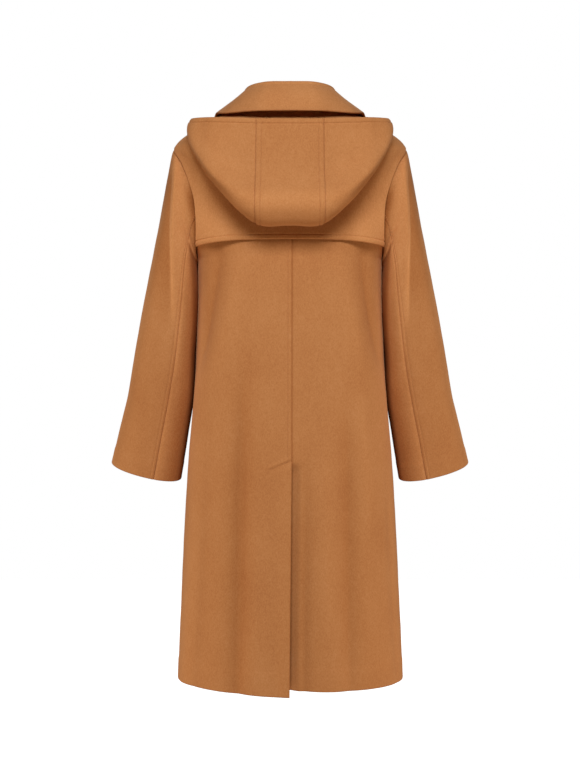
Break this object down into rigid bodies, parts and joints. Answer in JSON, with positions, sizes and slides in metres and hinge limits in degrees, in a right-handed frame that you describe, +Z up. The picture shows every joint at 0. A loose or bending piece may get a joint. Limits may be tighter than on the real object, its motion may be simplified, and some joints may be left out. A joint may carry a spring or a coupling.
{
  "type": "duffle coat",
  "caption": "Long hooded wool duffle coat, filled out as worn with no wearer: turned-down collar, hood hanging down the back, loose back yoke, vented back, wide sleeves, toggle front.",
  "frame": {"origin": "on the mid plane, level with the points where the shoulder seams meet the neck: where the coat is held on the wearer's shoulders", "axes": "+Z up, +Y the way the wearer faces, +X to the wearer's right; the back is at -Y"},
  "size_m": [0.708, 0.3779, 1.1516],
  "materials": {
    "wool": "camel wool melton, brushed",
    "cord": "twisted jute cord",
    "leather": "smooth brown leather",
    "horn": "polished dark horn"
  },
  "bodies": {
    "root": {"back_left": "wool", "back_right": "wool", "collar": "wool", "front_left": "wool", "front_right": "wool", "hood_centre": "wool", "hood_left": "wool", "hood_right": "wool", "sleeve_left_top": "wool", "sleeve_left_under": "wool", "sleeve_right_top": "wool", "sleeve_right_under": "wool", "yoke": "wool", "loop_1": "cord", "loop_patch_1": "leather", "tether_1": "cord", "tether_patch_1": "leather", "toggle_1": "horn", "loop_2": "cord", "loop_patch_2": "leather", "tether_2": "cord", "tether_patch_2": "leather", "toggle_2": "horn", "loop_3": "cord", "loop_patch_3": "leather", "tether_3": "cord", "tether_patch_3": "leather", "toggle_3": "horn", "loop_4": "cord", "loop_patch_4": "leather", "tether_4": "cord", "tether_patch_4": "leather", "toggle_4": "horn"}
  },
  "joints": []
}
